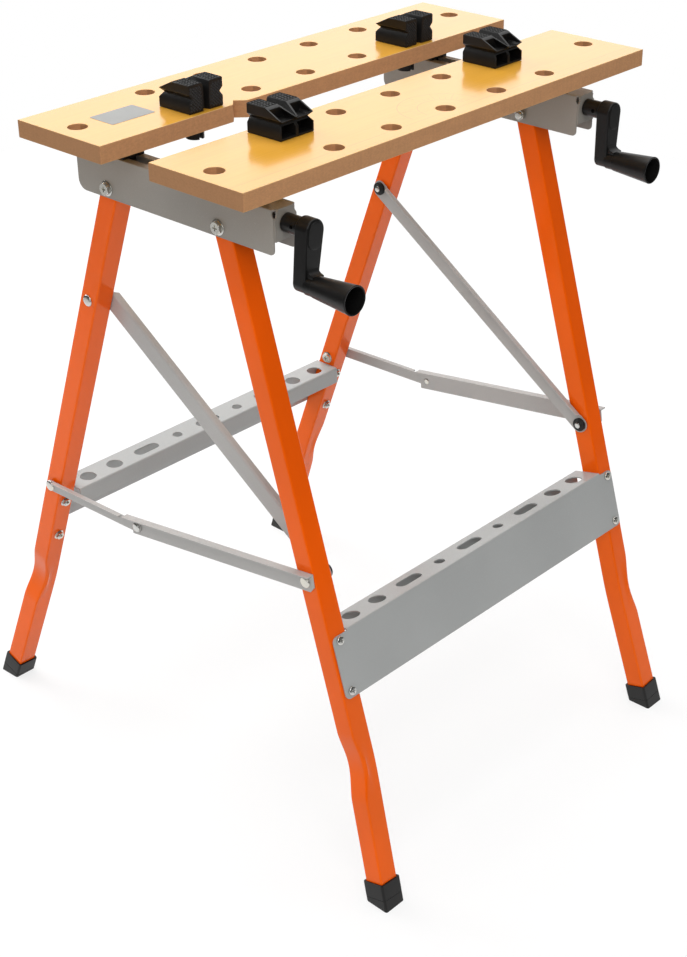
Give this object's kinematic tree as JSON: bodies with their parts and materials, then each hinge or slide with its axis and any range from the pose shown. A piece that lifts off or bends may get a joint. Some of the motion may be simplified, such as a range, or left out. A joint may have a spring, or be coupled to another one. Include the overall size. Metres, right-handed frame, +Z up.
{
  "type": "folding workbench",
  "caption": "Folding workbench with a split worktop whose rear jaw closes on crank screws, bench dogs in holes, splayed tube legs, tool trays, struts and folding stays.",
  "frame": {"origin": "on the floor, in the middle of the rectangle that the feet cover", "axes": "+Z up, -Y towards the cranks, +X to the right seen from the cranks"},
  "size_m": [0.605, 0.6648, 0.813],
  "materials": {
    "laminate": "gloss laminate over fibreboard",
    "grey_paint": "satin paint on folded sheet steel",
    "orange_paint": "gloss paint on steel tube",
    "black_plastic": "moulded satin plastic",
    "zinc": "bright zinc plate"
  },
  "bodies": {
    "top": {"front_jaw": "laminate", "beam_left": "grey_paint", "front_pad_left": "black_plastic", "front_leg_bolt_left": "zinc", "rear_leg_bolt_left": "zinc", "beam_right": "grey_paint", "front_pad_right": "black_plastic", "front_leg_bolt_right": "zinc", "rear_leg_bolt_right": "zinc"},
    "rear_jaw": {"rear_jaw": "laminate", "slider_left": "black_plastic", "slider_right": "black_plastic"},
    "front_legs": {"front_tray": "grey_paint", "front_leg_left": "orange_paint", "front_foot_left": "black_plastic", "front_tray_bolt_upper_left": "zinc", "front_tray_bolt_lower_left": "zinc", "front_link_bolt_left": "zinc", "front_leg_right": "orange_paint", "front_foot_right": "black_plastic", "front_tray_bolt_upper_right": "zinc", "front_tray_bolt_lower_right": "zinc", "front_link_bolt_right": "zinc"},
    "rear_legs": {"rear_tray": "grey_paint", "rear_leg_left": "orange_paint", "rear_foot_left": "black_plastic", "rear_tray_bolt_upper_left": "zinc", "rear_tray_bolt_lower_left": "zinc", "strut_head_rivet_left": "zinc", "stay_tail_stud_left": "zinc", "rear_leg_right": "orange_paint", "rear_foot_right": "black_plastic", "rear_tray_bolt_upper_right": "zinc", "rear_tray_bolt_lower_right": "zinc", "strut_head_rivet_right": "zinc", "stay_tail_stud_right": "zinc"},
    "strut_left": {"strut_left": "grey_paint", "strut_foot_washer_left": "black_plastic", "strut_head_washer_left": "black_plastic", "strut_head_bolt_left": "zinc"},
    "stay_long_left": {"stay_long_link_left": "grey_paint", "stay_elbow_rivet_left": "zinc"},
    "stay_short_left": {"stay_short_link_left": "grey_paint", "stay_tail_rivet_left": "zinc"},
    "screw_left": {"screw_left": "zinc"},
    "crank_left": {"crank_left": "black_plastic"},
    "rear_dog_left": {"rear_dog_left": "black_plastic"},
    "front_dog_left": {"front_dog_left": "black_plastic"},
    "strut_right": {"strut_right": "grey_paint", "strut_foot_washer_right": "black_plastic", "strut_head_washer_right": "black_plastic", "strut_head_bolt_right": "zinc"},
    "stay_long_right": {"stay_long_link_right": "grey_paint", "stay_elbow_rivet_right": "zinc"},
    "stay_short_right": {"stay_short_link_right": "grey_paint", "stay_tail_rivet_right": "zinc"},
    "screw_right": {"screw_right": "zinc"},
    "crank_right": {"crank_right": "black_plastic"},
    "rear_dog_right": {"rear_dog_right": "black_plastic"},
    "front_dog_right": {"front_dog_right": "black_plastic"}
  },
  "joints": [
    {"name": "fold", "type": "hinge", "parent": "top", "child": "front_legs", "pos_m": [0, -0.10924, 0.7125], "axis": [-1, 0, 0], "range_deg": [0, 62]},
    {"name": "rear_fold", "type": "hinge", "parent": "top", "child": "rear_legs", "pos_m": [0, 0.05226, 0.7125], "axis": [-1, 0, 0], "range_deg": [0, 94.68]},
    {"name": "jaw_slide", "type": "slide", "parent": "top", "child": "rear_jaw", "axis": [0, -1, 0], "range_m": [-0.02, 0.068]},
    {"name": "vice_turn_left", "type": "hinge", "parent": "top", "child": "screw_left", "pos_m": [-0.231, 0, 0.7325], "axis": [0, 1, 0], "range_deg": [-1800.1, 6120.1]},
    {"name": "vice_turn_right", "type": "hinge", "parent": "top", "child": "screw_right", "pos_m": [0.231, 0, 0.7325], "axis": [0, 1, 0], "range_deg": [-1800.1, 6120.1]},
    {"name": "strut_swing_left", "type": "hinge", "parent": "front_legs", "child": "strut_left", "pos_m": [-0.231, -0.21225, 0.36025], "axis": [-1, 0, 0], "range_deg": [-32.91, 0]},
    {"name": "stay_swing_left", "type": "hinge", "parent": "front_legs", "child": "stay_long_left", "pos_m": [-0.231, -0.21225, 0.36025], "axis": [-1, 0, 0], "range_deg": [-69.35, 0]},
    {"name": "stay_elbow_left", "type": "hinge", "parent": "stay_long_left", "child": "stay_short_left", "pos_m": [-0.231, 0.04751, 0.32137], "axis": [-1, 0, 0], "range_deg": [0, 172.51]},
    {"name": "crank_stow_left", "type": "hinge", "parent": "screw_left", "child": "crank_left", "pos_m": [-0.231, 0, 0.7325], "axis": [0, 1, 0], "range_deg": [0, 90]},
    {"name": "rear_dog_swivel_left", "type": "hinge", "parent": "rear_jaw", "child": "rear_dog_left", "pos_m": [-0.16, 0.01301, 0.784], "axis": [0, 0, 1], "continuous": true},
    {"name": "front_dog_swivel_left", "type": "hinge", "parent": "top", "child": "front_dog_left", "pos_m": [-0.16, -0.10649, 0.784], "axis": [0, 0, 1], "continuous": true},
    {"name": "strut_swing_right", "type": "hinge", "parent": "front_legs", "child": "strut_right", "pos_m": [0.231, -0.21225, 0.36025], "axis": [-1, 0, 0], "range_deg": [-32.91, 0]},
    {"name": "stay_swing_right", "type": "hinge", "parent": "front_legs", "child": "stay_long_right", "pos_m": [0.231, -0.21225, 0.36025], "axis": [-1, 0, 0], "range_deg": [-69.35, 0]},
    {"name": "stay_elbow_right", "type": "hinge", "parent": "stay_long_right", "child": "stay_short_right", "pos_m": [0.231, 0.04751, 0.32137], "axis": [-1, 0, 0], "range_deg": [0, 172.51]},
    {"name": "crank_stow_right", "type": "hinge", "parent": "screw_right", "child": "crank_right", "pos_m": [0.231, 0, 0.7325], "axis": [0, 1, 0], "range_deg": [-90, 0]},
    {"name": "rear_dog_swivel_right", "type": "hinge", "parent": "rear_jaw", "child": "rear_dog_right", "pos_m": [0.16, 0.01301, 0.784], "axis": [0, 0, 1], "continuous": true},
    {"name": "front_dog_swivel_right", "type": "hinge", "parent": "top", "child": "front_dog_right", "pos_m": [0.16, -0.10649, 0.784], "axis": [0, 0, 1], "continuous": true}
  ],
  "couplings": [
    {"joint": "rear_fold", "follows": "fold", "ratio": 1.5269},
    {"joint": "vice_turn_left", "follows": "jaw_slide", "rad_per_m": 1570.8},
    {"joint": "vice_turn_right", "follows": "jaw_slide", "rad_per_m": 1570.8},
    {"joint": "strut_swing_left", "follows": "fold", "ratio": -0.53068},
    {"joint": "stay_swing_left", "follows": "fold", "ratio": -1.1185},
    {"joint": "stay_elbow_left", "follows": "fold", "ratio": 2.7824},
    {"joint": "crank_stow_left", "follows": "fold", "ratio": 1.4516},
    {"joint": "strut_swing_right", "follows": "fold", "ratio": -0.53068},
    {"joint": "stay_swing_right", "follows": "fold", "ratio": -1.1185},
    {"joint": "stay_elbow_right", "follows": "fold", "ratio": 2.7824},
    {"joint": "crank_stow_right", "follows": "fold", "ratio": -1.4516}
  ]
}
